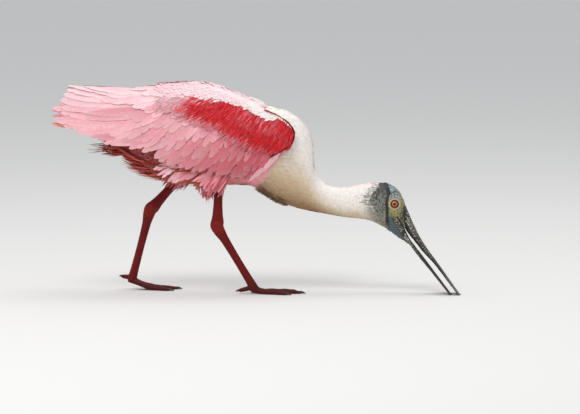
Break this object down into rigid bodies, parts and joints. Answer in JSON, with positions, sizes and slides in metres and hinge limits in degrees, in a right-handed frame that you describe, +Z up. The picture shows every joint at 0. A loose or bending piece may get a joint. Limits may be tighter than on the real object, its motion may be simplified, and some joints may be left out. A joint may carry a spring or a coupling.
{
  "type": "roseate spoonbill",
  "caption": "Life-size standing roseate spoonbill with folded wings, neck stretched forward and its long spatulate bill lowered, slightly open, to the floor.",
  "frame": {"origin": "centre of the bird's bounding box on the floor under its feet", "axes": "+X from the tail to the bill's tip, +Y to the bird's left, +Z up"},
  "size_m": [0.6544, 0.1452, 0.3351],
  "materials": {
    "mantle": "soft pale pink feathers",
    "white_feathers": "soft white feathers",
    "pink_feathers": "smooth rosy feathers",
    "carmine_feathers": "smooth deep red feathers",
    "salmon_feathers": "smooth orange feathers",
    "bare_skin": "bare wrinkled skin",
    "horn": "rough dull horn",
    "leg_scales": "scaly skin",
    "eye": "polished"
  },
  "bodies": {
    "root": {"torso": "mantle", "neck_lower": "white_feathers", "neck_upper": "white_feathers", "head": "bare_skin", "eye_left": "eye", "eye_right": "eye", "bill_upper": "horn", "bill_lower": "horn", "wing_left": "pink_feathers", "wing_right": "pink_feathers", "tail": "salmon_feathers", "undertail_coverts": "carmine_feathers", "thigh_left": "pink_feathers", "thigh_right": "pink_feathers", "tibia_left": "leg_scales", "tibia_right": "leg_scales", "tarsus_left": "leg_scales", "tarsus_right": "leg_scales", "foot_left": "leg_scales", "foot_right": "leg_scales"}
  },
  "joints": []
}
